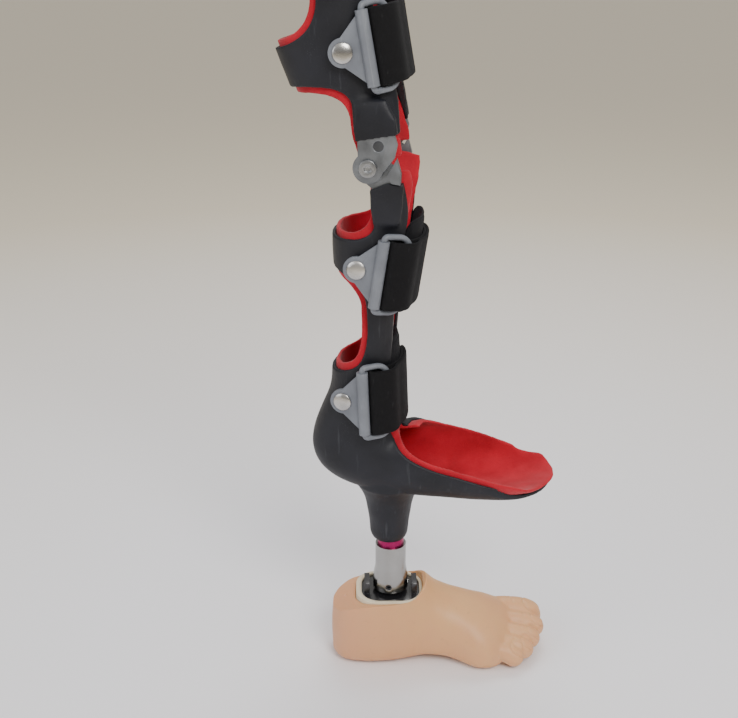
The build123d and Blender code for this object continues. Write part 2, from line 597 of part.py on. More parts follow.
def build():
    nodes = {}
    beyond = (4, 4)
    shank_outer = loft_form(SHANK_STATIONS, 0)
    shank_middle = loft_form(SHANK_STATIONS, SHELL + GLUE_GAP)
    shank_bore = loft_form(SHANK_STATIONS, SHELL, beyond)
    shank_inner = loft_form(SHANK_STATIONS, SHELL + LINER, beyond)
    shell = shank_trimmed(shank_outer - shank_bore, 0)
    shell &= Pos(0, 0, SHELL_TOP_Z - 200) * Box(400, 200, 400)
    shell += stalk_solid() - loft_form(SHANK_STATIONS, SHELL / 2)
    liner = shank_trimmed(shank_middle - shank_inner, LIP)
    liner -= front_gap((12, 205), (30, 440))

    beyond = (-4, 0)
    thigh_outer = loft_form(THIGH_STATIONS, 0)
    thigh_middle = loft_form(THIGH_STATIONS, SHELL + GLUE_GAP)
    thigh_bore = loft_form(THIGH_STATIONS, SHELL, beyond)
    thigh_inner = loft_form(THIGH_STATIONS, SHELL + LINER, beyond)
    thigh_shell = thigh_trimmed(thigh_outer, 0) - thigh_bore
    thigh_shell &= Pos(0, 0, 118) * Box(300, 200, 200)
    thigh_liner = thigh_trimmed(thigh_middle, LIP) - thigh_inner - front_gap((27, -40), (36, 240))
    for sign in SIDES.values():
        shell += lower_cover(sign) - shank_bore
        thigh_shell += upper_cover(sign) - thigh_bore
    thigh_shell = to_thigh(thigh_shell)
    thigh_liner = to_thigh(thigh_liner)

    liner -= sector(-4, 200, 40)
    thigh_liner -= sector(-205, -2, 40)
    for sign in SIDES.values():
        start = (PIVOT[0], 60 * sign, PIVOT[1])
        relief = cylinder_between(start, (PIVOT[0], 35.6 * sign, PIVOT[1]), 6.5)
        thigh_liner -= relief
        liner -= relief

    for side, sign in SIDES.items():
        for name, part in knee_joint(sign).items():
            nodes[f"{side}_{name}"] = part
        thigh_shell -= nodes[f"{side}_upper_bar"]
        shell -= nodes[f"{side}_lower_bar"]

    for name, (body, place) in STRAPS.items():
        chafe, rivet = chafe_parts(place)
        strap, fold, pad, anchor = strap_parts(place)
        ring = ring_solid(place)
        nodes[f"{name}_chafe"] = chafe
        nodes[f"{name}_rivet"] = rivet
        nodes[f"{name}_ring"] = ring
        nodes[f"{name}_strap_end"] = fold - ring
        nodes[f"{name}_strap"] = strap
        nodes[f"{name}_anchor_rivet"] = anchor
        if pad:
            nodes[f"{name}_pad"] = pad
        if body == "thigh":
            thigh_shell = thigh_shell - rivet - anchor
            thigh_liner = thigh_liner - rivet - anchor
        else:
            shell = shell - rivet - anchor
            liner = liner - rivet - anchor

    cover, keel, bolt, core, plate = foot_parts()
    turn = Rot(0, 0, FOOT_YAW)
    nodes["foot_cover"] = turn * cover
    nodes["foot_keel"] = turn * keel
    nodes["foot_bolt"] = turn * bolt
    nodes["foot_foam_core"] = turn * core
    nodes["foot_adapter"] = turn * plate
    body, screws, clamp_screw, pylon, anchor = receiver_parts()
    nodes["tube_clamp"] = body
    nodes["clamp_set_screws"] = Part() + screws
    nodes["clamp_screw"] = clamp_screw
    nodes["pylon_tube"] = pylon
    nodes["lamination_anchor"] = anchor
    shell -= anchor + cylinder_between((0, 0, 100), (0, 0, PYLON_TOP_Z), PYLON_RADIUS)
    nodes["shank_shell"] = largest(shell)
    nodes["shank_liner"] = liner
    nodes["thigh_shell"] = thigh_shell
    nodes["thigh_liner"] = thigh_liner
    return nodes


for node_name, node in build().items():
    save(node, node_name)
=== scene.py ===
"""Looks of the prosthetic leg: soft foot, laminate and foam shells, straps, knee joints and clamp."""

import math

import bmesh
import bpy
import numpy as np
from mathutils import Matrix, Vector, noise


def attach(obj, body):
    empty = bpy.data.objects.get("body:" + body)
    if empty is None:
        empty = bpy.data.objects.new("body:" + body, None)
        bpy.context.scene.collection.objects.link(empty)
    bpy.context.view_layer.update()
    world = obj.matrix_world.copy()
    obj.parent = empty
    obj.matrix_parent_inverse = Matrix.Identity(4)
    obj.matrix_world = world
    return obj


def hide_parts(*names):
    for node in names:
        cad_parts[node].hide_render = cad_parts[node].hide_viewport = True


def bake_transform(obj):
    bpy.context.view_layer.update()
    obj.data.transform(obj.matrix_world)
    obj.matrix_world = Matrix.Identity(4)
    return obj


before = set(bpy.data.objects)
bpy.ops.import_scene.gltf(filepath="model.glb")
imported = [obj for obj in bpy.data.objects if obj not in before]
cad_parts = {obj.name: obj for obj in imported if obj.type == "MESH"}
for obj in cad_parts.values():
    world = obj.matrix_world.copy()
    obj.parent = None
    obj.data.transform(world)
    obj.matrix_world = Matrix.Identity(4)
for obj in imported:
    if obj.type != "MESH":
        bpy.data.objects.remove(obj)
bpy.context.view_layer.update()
MM = 0.001

# ---------------------------------------------------------------- camera, floor and light
CAMERA_YAW = math.radians(7)
CAMERA_PITCH = math.radians(21)
CAMERA_PLACE = (0.0785, -0.783, 0.560)
CAMERA_LENS = 54.4
FLOOR_REACH = 12.0
FLOOR_NEAR = (0.90, 0.895, 0.94)
FLOOR_FAR = (0.80, 0.72, 0.57)
# place, target, size, power and colour of each lamp
LIGHTS = {
    "key": ((0.7, -1.3, 1.5), (0, 0, 0.3), 0.9, 26, (1.0, 0.97, 0.93)),
    "fill": ((-1.3, -0.9, 0.9), (0, 0, 0.3), 1.2, 8, (0.93, 0.95, 1.0)),
    "top": ((0.1, 0.9, 1.7), (0, 0, 0.2), 1.1, 12, (1.0, 0.98, 0.95)),
}
HORIZON = (0.30, 0.29, 0.28, 1)
ZENITH = (1.0, 0.985, 0.96, 1)
SKY_STRENGTH = 0.75


def make_camera():
    """A camera at the height and angle of a person crouching beside the leg."""
    data = bpy.data.cameras.new("camera")
    data.lens = CAMERA_LENS
    data.sensor_width = 36
    camera = bpy.data.objects.new("camera", data)
    camera.location = CAMERA_PLACE
    camera.rotation_euler = (math.pi / 2 - CAMERA_PITCH, 0, CAMERA_YAW)
    bpy.context.scene.collection.objects.link(camera)
    bpy.context.scene.camera = camera


def make_light(name, place, target, size, power, colour):
    """A round lamp aimed at a target."""
    data = bpy.data.lights.new(name, "AREA")
    data.shape = "DISK"
    data.size = size
    data.energy = power
    data.color = colour
    light = bpy.data.objects.new(name, data)
    light.location = place
    light.rotation_euler = (Vector(target) - Vector(place)).to_track_quat("-Z", "Y").to_euler()
    bpy.context.scene.collection.objects.link(light)


def make_studio():
    """A pale floor, white under the foot and warmer further off, and soft lights."""
    mesh = bpy.data.meshes.new("floor")
    corners = [(FLOOR_REACH * x, FLOOR_REACH * y, 0) for x, y in ((-1, -1), (1, -1), (1, 1), (-1, 1))]
    mesh.from_pydata(corners, [], [(0, 1, 2, 3)])
    floor = bpy.data.objects.new("floor", mesh)
    bpy.context.scene.collection.objects.link(floor)
    paint = Paint("floor_paint", FLOOR_NEAR, roughness=0.7)
    distance = paint.node("ShaderNodeVectorMath")
    distance.operation = "LENGTH"
    paint.join(paint.coordinates.outputs["Object"], distance.inputs[0])
    far = paint.levels(distance.outputs["Value"], 0.0, 1.0, 0.25, 1.6)
    paint.link(paint.ramp(far, [(0.0, FLOOR_NEAR), (1.0, FLOOR_FAR)]), "Base Color")
    mesh.materials.append(paint.material)

    for name, settings in LIGHTS.items():
        make_light(name, *settings)
    world = bpy.data.worlds.new("world")
    bpy.context.scene.world = world
    world.use_nodes = True
    tree = world.node_tree
    background = tree.nodes["Background"]
    coordinates = tree.nodes.new("ShaderNodeTexCoord")
    parts = tree.nodes.new("ShaderNodeSeparateXYZ")
    ramp = tree.nodes.new("ShaderNodeValToRGB")
    ramp.color_ramp.elements[0].position = 0.02
    ramp.color_ramp.elements[0].color = HORIZON
    ramp.color_ramp.elements[1].position = 0.75
    ramp.color_ramp.elements[1].color = ZENITH
    tree.links.new(coordinates.outputs["Generated"], parts.inputs[0])
    tree.links.new(parts.outputs["Z"], ramp.inputs["Fac"])
    tree.links.new(ramp.outputs["Color"], background.inputs["Color"])
    background.inputs["Strength"].default_value = SKY_STRENGTH


# ---------------------------------------------------------------- material builder
class Paint:
    """A node material, built up from object-space noise."""

    def __init__(self, name, colour, roughness=0.5, metallic=0.0):
        self.material = bpy.data.materials.new(name)
        self.material.use_nodes = True
        self.tree = self.material.node_tree
        self.shader = self.tree.nodes["Principled BSDF"]
        self.set("Base Color", (*colour, 1))
        self.set("Roughness", roughness)
        self.set("Metallic", metallic)
        self.coordinates = self.node("ShaderNodeTexCoord")
        self.height = None

    def node(self, kind):
        return self.tree.nodes.new(kind)

    def set(self, socket, value):
        self.shader.inputs[socket].default_value = value

    def link(self, output, socket):
        self.tree.links.new(output, self.shader.inputs[socket])

    def join(self, output, target):
        self.tree.links.new(output, target)

    def noise(self, scale, detail=3.0, stretch=(1, 1, 1)):
        mapping = self.node("ShaderNodeMapping")
        mapping.inputs["Scale"].default_value = stretch
        self.join(self.coordinates.outputs["Object"], mapping.inputs["Vector"])
        texture = self.node("ShaderNodeTexNoise")
        texture.inputs["Scale"].default_value = scale
        texture.inputs["Detail"].default_value = detail
        self.join(mapping.outputs[0], texture.inputs["Vector"])
        return texture.outputs["Fac"]

    def cells(self, scale):
        texture = self.node("ShaderNodeTexVoronoi")
        texture.inputs["Scale"].default_value = scale
        self.join(self.coordinates.outputs["Object"], texture.inputs["Vector"])
        return texture.outputs["Distance"]

    def wave(self, scale, direction):
        texture = self.node("ShaderNodeTexWave")
        texture.bands_direction = direction
        texture.inputs["Scale"].default_value = scale
        self.join(self.coordinates.outputs["UV"], texture.inputs["Vector"])
        return texture.outputs["Fac"]

    def ramp(self, source, stops):
        """Colours along a source, as (place, colour) stops."""
        ramp = self.node("ShaderNodeValToRGB")
        elements = ramp.color_ramp.elements
        while len(elements) < len(stops):
            elements.new(0.5)
        for element, (place, colour) in zip(elements, stops):
            element.position = place
            element.color = colour if len(colour) == 4 else (*colour, 1)
        self.join(source, ramp.inputs["Fac"])
        return ramp.outputs["Color"]

    def levels(self, source, low, high, start=0.0, end=1.0):
        """Stretch a source's range from start and end to low and high."""
        spread = self.node("ShaderNodeMapRange")
        spread.inputs["From Min"].default_value = start
        spread.inputs["From Max"].default_value = end
        spread.inputs["To Min"].default_value = low
        spread.inputs["To Max"].default_value = high
        self.join(source, spread.inputs["Value"])
        return spread.outputs["Result"]

    def mix(self, factor, first, second):
        """Blend two colours or sockets."""
        mix = self.node("ShaderNodeMix")
        mix.data_type = "RGBA"
        for value, socket in ((factor, mix.inputs[0]), (first, mix.inputs[6]), (second, mix.inputs[7])):
            if isinstance(value, (tuple, float, int)):
                socket.default_value = value
            else:
                self.join(value, socket)
        return mix.outputs[2]

    def combine(self, operation, first, second):
        """A sum or product of two values or sockets."""
        sums = self.node("ShaderNodeMath")
        sums.operation = operation
        for value, socket in ((first, sums.inputs[0]), (second, sums.inputs[1])):
            if isinstance(value, (float, int)):
                socket.default_value = value
            else:
                self.join(value, socket)
        return sums.outputs[0]

    def edges(self, low, high):
        """0 on flats, 1 on sharp outer edges."""
        return self.levels(self.node("ShaderNodeNewGeometry").outputs["Pointiness"], 0.0, 1.0, low, high)

    def bump(self, source, distance, strength):
        """Add a layer of relief over the ones before it."""
        bump = self.node("ShaderNodeBump")
        bump.inputs["Distance"].default_value = distance
        bump.inputs["Strength"].default_value = strength
        self.join(source, bump.inputs["Height"])
        if self.height:
            self.join(self.height, bump.inputs["Normal"])
        self.height = bump.outputs["Normal"]
        self.link(self.height, "Normal")


def laminate_paint():
    """Matte black plastic with a faint blue cast, dust specks, scuffs and an uneven skin."""
    paint = Paint("black_laminate", (0.012, 0.013, 0.018), roughness=0.55)
    paint.set("Specular IOR Level", 0.36)
    broad = paint.noise(28, 4)
    tone = paint.ramp(broad, [(0.3, (0.0045, 0.005, 0.008)), (0.7, (0.011, 0.012, 0.018))])
    specks = paint.levels(paint.cells(900), 1.0, 0.0, 0.02, 0.16)
    patches = paint.levels(paint.noise(45, 2), 0.0, 0.55, 0.5, 0.72)
    dust = paint.combine("MULTIPLY", specks, patches)
    scuffs = paint.levels(paint.noise(260, 5, (1, 1, 0.12)), 0.0, 0.16, 0.62, 0.80)
    tone = paint.mix(scuffs, tone, (0.16, 0.17, 0.19, 1))
    worn = paint.levels(paint.noise(140, 4), 0.0, 0.8, 0.4, 0.7)
    rubbed = paint.combine("MULTIPLY", paint.edges(0.53, 0.66), worn)
    tone = paint.mix(rubbed, tone, (0.07, 0.075, 0.085, 1))
    paint.link(paint.mix(dust, tone, (0.22, 0.23, 0.25, 1)), "Base Color")
    paint.link(paint.levels(paint.noise(70, 5), 0.40, 0.68), "Roughness")
    paint.bump(paint.noise(55, 3), 0.0012, 0.35)
    paint.bump(paint.noise(1400, 3), 0.00012, 0.6)
    return paint.material


def foam_paint(name, dark, light, cell=1500):
    """Closed-cell foam: fine open pores on cut faces, soft sheen and slow tone changes."""
    paint = Paint(name, light, roughness=0.85)
    paint.set("Specular IOR Level", 0.25)
    paint.set("Sheen Weight", 0.15)
    paint.set("Sheen Roughness", 0.5)
    tone = paint.ramp(paint.noise(40, 4), [(0.3, dark), (0.7, light)])
    pores = paint.levels(paint.cells(cell), 0.35, 0.0, 0.0, 0.45)
    deep = tuple(0.55 * c for c in dark) + (1,)
    paint.link(paint.mix(pores, tone, deep), "Base Color")
    paint.link(paint.levels(paint.noise(200, 3), 0.7, 0.95), "Roughness")
    paint.bump(paint.cells(cell), 0.00016, 0.5)
    paint.bump(paint.noise(110, 3), 0.0006, 0.35)
    return paint.material


def metal_paint(name, colour, roughness, scale=500, stretch=(1, 1, 1), wear=0.12):
    """Satin metal with fine machining marks, smudges and small pits."""
    paint = Paint(name, colour, roughness=roughness, metallic=1.0)
    marks = paint.noise(scale, 4, stretch)
    smudge = paint.noise(60, 4)
    dull = tuple(c * (1 - 2.5 * wear) for c in colour)
    paint.link(paint.ramp(smudge, [(0.3, dull), (0.65, colour)]), "Base Color")
    paint.link(paint.levels(smudge, roughness - 0.08, roughness + wear), "Roughness")
    paint.bump(marks, 0.00008, 0.35)
    return paint.material


def plastic_paint():
    """Grey moulded plastic with a fine spark-eroded grain, flow tone and rubbed dust."""
    paint = Paint("grey_plastic", (0.25, 0.27, 0.31), roughness=0.48)
    tone = paint.ramp(paint.noise(60, 3), [(0.3, (0.125, 0.137, 0.162)), (0.7, (0.175, 0.190, 0.220))])
    scuffs = paint.levels(paint.noise(420, 5, (1, 1, 0.2)), 0.0, 0.35, 0.62, 0.78)
    tone = paint.mix(paint.combine("MULTIPLY", paint.edges(0.52, 0.62), 0.5), tone, (0.27, 0.285, 0.31, 1))
    paint.link(paint.mix(scuffs, tone, (0.28, 0.30, 0.33, 1)), "Base Color")
    paint.link(paint.levels(paint.noise(150, 4), 0.38, 0.60), "Roughness")
    paint.bump(paint.noise(1800, 2), 0.00006, 0.5)
    paint.bump(paint.noise(90, 3), 0.0005, 0.15)
    return paint.material


def flesh_paint():
    """Skin-coloured foam rubber, darker and pinker at the heel as painted shade and brighter and yellower
    towards the instep and toes as painted light, with fine creases.
    """
    paint = Paint("flesh_rubber", (0.75, 0.50, 0.32), roughness=0.46)
    paint.set("Subsurface Weight", 0.22)
    paint.set("Subsurface Radius", (0.010, 0.004, 0.002))
    paint.set("Subsurface Scale", 0.6)
    parts = paint.node("ShaderNodeSeparateXYZ")
    paint.join(paint.coordinates.outputs["Object"], parts.inputs[0])
    # painted light: the colour runs from a darker, pinker heel in painted shade to brighter toes in painted
    # light
    along = paint.levels(parts.outputs["X"], 0.0, 1.0, -0.05, 0.12)
    heel, instep, toes = (0.66, 0.330, 0.175), (0.69, 0.375, 0.165), (0.72, 0.400, 0.190)
    tone = paint.ramp(along, [(0.0, heel), (0.45, instep), (1.0, toes)])
    blotch = paint.levels(paint.noise(26, 4), 0.0, 0.45, 0.4, 0.75)
    tone = paint.mix(blotch, tone, (0.64, 0.300, 0.160, 1))
    grime = paint.levels(paint.noise(300, 5), 0.0, 0.25, 0.62, 0.8)
    paint.link(paint.mix(grime, tone, (0.42, 0.22, 0.11, 1)), "Base Color")
    paint.link(paint.levels(paint.noise(120, 4), 0.36, 0.58), "Roughness")
    paint.bump(paint.noise(500, 4), 0.00015, 0.4)
    paint.bump(paint.noise(60, 3), 0.0008, 0.2)
    return paint.material


def gloss_paint():
    """Glossy black enamel with fine orange peel and dust."""
    paint = Paint("black_enamel", (0.012, 0.012, 0.014), roughness=0.16)
    paint.set("Coat Weight", 0.5)
    paint.set("Coat Roughness", 0.08)
    specks = paint.levels(paint.cells(800), 0.7, 0.0, 0.02, 0.14)
    paint.link(paint.mix(specks, (0.012, 0.012, 0.014, 1), (0.16, 0.15, 0.15, 1)), "Base Color")
    paint.link(paint.levels(paint.noise(90, 4), 0.10, 0.34), "Roughness")
    paint.bump(paint.noise(300, 2), 0.0002, 0.2)
    return paint.material


def webbing_paint(name, colour, loop):
    """Black woven strap; the loop face is a dense matte pile, with lighter vertical streaks on it as painted
    sheen.
    """
    paint = Paint(name, colour, roughness=0.9)
    paint.set("Specular IOR Level", 0.2)
    paint.set("Sheen Weight", 0.05)
    paint.set("Sheen Roughness", 0.35)
    paint.set("Sheen Tint", (0.35, 0.37, 0.42, 1))
    light = tuple(1.7 * c for c in colour)
    if loop:
        pile = paint.noise(2600, 4)
        weave = paint.levels(pile, 0.0, 1.0, 0.3, 0.7)
    else:
        weave = paint.combine("MULTIPLY", paint.wave(230, "X"), paint.wave(320, "Y"))
    tone = paint.ramp(weave, [(0.2, tuple(0.5 * c for c in colour)), (0.8, light)])
    # painted sheen: lighter streaks drawn out along Z stand for the vertical sheen of light on the webbing
    painted_sheen = paint.levels(paint.noise(900, 4, (1, 1, 0.2)), 0.0, 0.30, 0.66, 0.80)
    paint.link(paint.mix(painted_sheen, tone, (0.14, 0.14, 0.15, 1)), "Base Color")
    paint.bump(weave, 0.0003, 0.7)
    paint.bump(paint.noise(120, 3), 0.0008, 0.25)
    return paint.material


def make_paints():
    """Every material, by name."""
    return {
        "laminate": laminate_paint(),
        "red_foam": foam_paint("red_foam", (0.36, 0.004, 0.014), (0.54, 0.009, 0.027)),
        "cream_foam": foam_paint("cream_foam", (0.66, 0.56, 0.40), (0.80, 0.72, 0.55), 900),
        "grey_plastic": plastic_paint(),
        "knee_steel": metal_paint("knee_steel", (0.24, 0.255, 0.275), 0.46, 700, (1, 1, 1), 0.16),
        "dark_steel": metal_paint("dark_steel", (0.10, 0.105, 0.115), 0.40, 600, (1, 1, 1), 0.14),
        "pale_steel": metal_paint("pale_steel", (0.34, 0.35, 0.365), 0.34, 600, (1, 1, 1), 0.14),
        "alloy": metal_paint("satin_alloy", (0.36, 0.355, 0.345), 0.22, 900, (0.2, 0.2, 3.0), 0.07),
        "fastener": metal_paint("bright_steel", (0.60, 0.59, 0.575), 0.26, 600, (1, 1, 1), 0.14),
        "magenta": metal_paint("magenta_anodised", (0.36, 0.020, 0.11), 0.35, 700, (0.2, 0.2, 3.0), 0.08),
        "flesh": flesh_paint(),
        "black_gloss": gloss_paint(),
        "webbing": webbing_paint("black_webbing", (0.006, 0.006, 0.007), False),
        "loop_pile": webbing_paint("black_loop_pile", (0.006, 0.006, 0.007), True),
        "pad_cloth": webbing_paint("black_pad_cloth", (0.007, 0.007, 0.009), True),
        "keel": foam_paint("plain_keel", (0.35, 0.22, 0.12), (0.55, 0.38, 0.22), 700),
        "bearing": foam_paint("nylon", (0.66, 0.62, 0.52), (0.76, 0.72, 0.62), 2200),
    }


# ---------------------------------------------------------------- mesh helpers
WELD = 2e-6  # points of the CAD meshes closer than this, in metres, are joined


def new_piece(name, mesh, body, paint, replaced=()):
    """Put a mesh in the scene as a named piece of a body."""
    mesh.materials.clear()
    mesh.materials.append(paint)
    piece = bpy.data.objects.new(name, mesh)
    bpy.context.scene.collection.objects.link(piece)
    if body:
        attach(piece, body)
    if replaced:
        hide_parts(*replaced)
    return piece


def applied(mesh, modifiers):
    """The mesh after a list of (kind, settings) modifiers."""
    holder = bpy.data.objects.new("work", mesh)
    bpy.context.scene.collection.objects.link(holder)
    for kind, settings in modifiers:
        modifier = holder.modifiers.new(kind, kind)
        for key, value in settings.items():
            setattr(modifier, key, value)
    graph = bpy.context.evaluated_depsgraph_get()
    result = bpy.data.meshes.new_from_object(holder.evaluated_get(graph))
    bpy.data.objects.remove(holder)
    return result


def cad_copy(node):
    """A welded copy of a CAD node's mesh."""
    return applied(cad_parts[node].data.copy(), [("WELD", {"merge_threshold": WELD})])


def remeshed(mesh, voxel, smooth):
    """Even faces and softly rounded edges."""
    steps = [("REMESH", {"mode": "VOXEL", "voxel_size": voxel, "use_smooth_shade": True})]
    steps.append(("SMOOTH", {"iterations": smooth, "factor": 0.5}))
    return applied(mesh, steps)


def points_of(mesh):
    points = np.empty(3 * len(mesh.vertices))
    mesh.vertices.foreach_get("co", points)
    return points.reshape(-1, 3)


def normals_of(mesh):
    normals = np.empty(3 * len(mesh.vertices))
    mesh.vertices.foreach_get("normal", normals)
    return normals.reshape(-1, 3)


def move_points(mesh, points):
    mesh.vertices.foreach_set("co", points.reshape(-1))
    mesh.update()


def ripple(mesh, height, size, seed):
    """Uneven hand-laid skin: move points along their normals by smooth noise."""
    points = points_of(mesh)
    normals = normals_of(mesh)
    offset = Vector((seed * 7.1, seed * 3.3, seed * 1.7))
    heights = [noise.noise(Vector(p) / size + offset) for p in points]
    move_points(mesh, points + normals * (np.array(heights) * height)[:, None])


# ---------------------------------------------------------------- hard parts
def hard_piece(node, body, paint, bevel):
    """A turned, moulded or stamped part: the CAD form with its edges broken."""
    steps = [("WELD", {"merge_threshold": WELD}),
             ("DECIMATE", {"decimate_type": "DISSOLVE", "angle_limit": math.radians(0.6)}),
             ("BEVEL", {"width": bevel * MM, "segments": 3, "limit_method": "ANGLE",
                        "angle_limit": math.radians(32), "use_clamp_overlap": True})]
    mesh = applied(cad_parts[node].data.copy(), steps)
    mesh.shade_smooth()
    mesh.set_sharp_from_angle(angle=math.radians(38))
    new_piece(node + "_finished", mesh, body, paint, (node,))


# ---------------------------------------------------------------- shells and linings
def near_edges(mesh):
    """Index pairs of a mesh's edges."""
    pairs = np.empty(2 * len(mesh.edges), dtype=np.int64)
    mesh.edges.foreach_get("vertices", pairs)
    return pairs.reshape(-1, 2)


def smoothed_where(mesh, weights, rounds):
    """Relax points towards their neighbours' middle, as far as each point's weight says."""
    points = points_of(mesh)
    pairs = near_edges(mesh)
    # work on the weighted points and their neighbours alone
    pairs = pairs[(weights[pairs[:, 0]] > 0) | (weights[pairs[:, 1]] > 0)]
    used, local = np.unique(pairs, return_inverse=True)
    local = local.reshape(-1, 2)
    some = points[used]
    pull = 0.5 * weights[used][:, None]
    count = np.bincount(local.ravel(), minlength=len(used)).astype(float)[:, None]
    for _ in range(rounds):
        total = np.zeros_like(some)
        for k in range(3):
            total[:, k] = np.bincount(local[:, 0], some[local[:, 1], k], len(used))
            total[:, k] += np.bincount(local[:, 1], some[local[:, 0], k], len(used))
        some += (total / count - some) * pull
    points[used] = some
    move_points(mesh, points)


def band_weights(points, centre, direction, half_width, side_reach):
    """1 within a flat band across a direction, falling to 0, on the leg's outer faces."""
    along = np.abs((points - np.array(centre) * MM) @ np.array(direction)) / (half_width * MM)
    across = np.clip((np.abs(points[:, 1]) - side_reach * MM) / (4 * MM), 0, 1)
    return np.clip(1.6 - along, 0, 1) * across


LOBE_BACK = -4.0  # X where a lobe's swelling starts
LOBE_DEPTH = 24.0  # how far forward of there it is full
CORNER_DROP = 7.0  # how far a lobe's front corner is drawn back from the knee's gap
CORNER_REACH = 20.0
BLEND_ROUNDS = 80  # relaxing of the knee covers' edges


def swell_lobe(mesh, middle_z, half_height, forward, end_z, end_way):
    """Swell the front edge of a lining beside the knee and round its corner at the knee's gap."""
    points = points_of(mesh)
    x, z = points[:, 0] / MM, points[:, 2] / MM
    reach = np.clip((z - middle_z) / half_height, -1, 1)
    front = np.clip((x - LOBE_BACK) / LOBE_DEPTH, 0, 1) ** 1.5
    points[:, 0] += forward * MM * np.cos(reach * math.pi / 2) ** 2 * front
    near_end = np.clip(1 - np.abs(z - end_z) / CORNER_REACH, 0, 1)
    points[:, 2] -= end_way * CORNER_DROP * MM * near_end * np.clip((x - 4) / 18, 0, 1.2) ** 2
    move_points(mesh, points)


def box_weights(points, low, high):
    """1 inside a box in millimetres, falling to 0 within 6 mm outside it."""
    places = points / MM
    away = np.maximum(np.array(low) - places, places - np.array(high)).max(axis=1)
    return np.clip(1 - away / 6, 0, 1)


def shell_piece(node, body, paint, voxel, smooth, height, size, seed, bands=(), lobe=None, relaxed=()):
    """A hand-laid wall with rounded edges and a slightly uneven skin.

    Relaxed boxes even out ragged edges, a lobe swells a lining beside the knee, and bands blend the
    knee covers in.
    """
    mesh = remeshed(cad_copy(node), voxel * MM, smooth)
    for low, high, rounds in relaxed:
        smoothed_where(mesh, box_weights(points_of(mesh), low, high), rounds)
    if lobe:
        swell_lobe(mesh, *lobe)
    for centre, direction, half_width, side_reach in bands:
        weights = band_weights(points_of(mesh), centre, direction, half_width, side_reach)
        smoothed_where(mesh, weights, BLEND_ROUNDS)
    ripple(mesh, height * MM, size * MM, seed)
    mesh.shade_smooth()
    new_piece(node + "_skin", mesh, body, paint, (node,))


# ---------------------------------------------------------------- straps
STRAP = 2.2  # thickness of the webbing
STRAP_WIDTH = 50.0
STRAP_LIFT = 0.5  # gap under the inner layer
WIRE = 2.2  # radius of the ring's wire
PIVOT = (-13.0, 411.0)  # X and Z of the knee's axis
THIGH_TILT = math.radians(-10)


def thigh_point(x, z):
    """A point of the thigh's own frame, in millimetres."""
    c = math.cos(THIGH_TILT)
    s = math.sin(THIGH_TILT)
    return (PIVOT[0] + x * c + z * s, PIVOT[1] - x * s + z * c)


# body, origin, tilt, half depth, half width, power and rivet angle of each strap's oval
STRAPS = {
    "upper_thigh": ("thigh", thigh_point(-15.5, 177), -10, 50.4, 49.6, 2.35, 81),
    "lower_thigh": ("thigh", thigh_point(-11.5, 77), -10, 43.4, 44.2, 2.5, 83),
    "calf": ("shank", (-13, 338), 8.5, 30.8, 38.5, 2.4, 102),
    "ankle": ("shank", (-22, 236.5), -2.5, 28.6, 32.0, 2.3, 108),
}
CHAFE_REACH = 16.5  # from the rivet to the chafe's tube
RING_REACH = 20.0  # from the tube to the ring's front bar
TUBE_RADIUS = 5.4
LANDING = 0.42  # angle over which the outer layer comes down on the inner one
PATH_STEP = 0.9
BAND_COLUMNS = 26
BEND_DIRECTION = np.array((0.6, 0.8))
BEND_LENGTH = 20
# thread: every third step of the path along the selvedges, and its places across the webbing
STITCH_STEP = 3
STITCH_LENGTH = 2.0
STITCH_SPACING = 2.8
SEAM_INSET = 4.0


class StrapPlace:
    """A strap's level plane, in millimetres: X forward, Y to the inner side, Z up along the leg."""

    def __init__(self, name):
        self.body, origin, tilt, self.a, self.b, self.power, rivet_angle = STRAPS[name]
        t = math.radians(tilt)
        self.origin = np.array((origin[0], 0.0, origin[1]))
        self.x = np.array((math.cos(t), 0.0, -math.sin(t)))
        self.y = np.array((0.0, 1.0, 0.0))
        self.z = np.array((math.sin(t), 0.0, math.cos(t)))
        rivet = self.oval(math.radians(rivet_angle), 0)
        self.forward = self.oval(math.radians(rivet_angle - 12), 0) - rivet
        self.forward /= np.linalg.norm(self.forward)
        self.out = np.array((self.forward[1], -self.forward[0]))
        self.rivet = rivet + self.out * 1.6
        self.tube = self.rivet + self.forward * CHAFE_REACH + self.out * 3.2
        self.bow = self.find_bow()

    def find_bow(self):
        """The middle of the ring's front bar, which rides over the inner layer."""
        lift = STRAP_LIFT + STRAP + 0.2 + WIRE
        points = [self.oval(math.radians(90 - step * 0.1), lift) for step in range(900)]
        ahead = [point for point in points if point[0] > self.tube[0]]
        return min(ahead, key=lambda point: abs(np.linalg.norm(point - self.tube) - RING_REACH))

    def oval(self, angle, lift):
        """A point of the strap's oval, lifted off the leg."""
        c = math.cos(angle)
        s = math.sin(angle)
        a = self.a + lift
        b = self.b + lift
        x = math.copysign(a * abs(c) ** (2 / self.power), c)
        y = -math.copysign(b * abs(s) ** (2 / self.power), s)
        return np.array((x, y))

    def angle_of(self, point):
        """The oval's angle whose point lies in the direction of a point."""
        target = math.atan2(-point[1], point[0])
        angles = np.linspace(-math.pi, math.pi, 2881)
        best = min(angles, key=lambda angle: abs(self.direction(angle) - target))
        return float(best)

    def direction(self, angle):
        """The direction of an oval's point from the middle."""
        x, y = self.oval(angle, 0)
        return math.atan2(-y, x)

    def world(self, point, height):
        """A point of the level plane and a height above it, in metres."""
        place = self.origin + self.x * point[0] + self.y * point[1] + self.z * height
        return Vector(place * MM)


def even_path(points, step):
    """The same line with points a step apart, smoothed."""
    points = np.array(points)
    lengths = np.concatenate(([0], np.cumsum(np.linalg.norm(np.diff(points, axis=0), axis=1))))
    count = max(int(lengths[-1] / step), 8)
    at = np.linspace(0, lengths[-1], count)
    path = np.stack([np.interp(at, lengths, points[:, k]) for k in (0, 1)], axis=1)
    for _ in range(6):
        path[1:-1] = 0.5 * path[1:-1] + 0.25 * (path[:-2] + path[2:])
    return path


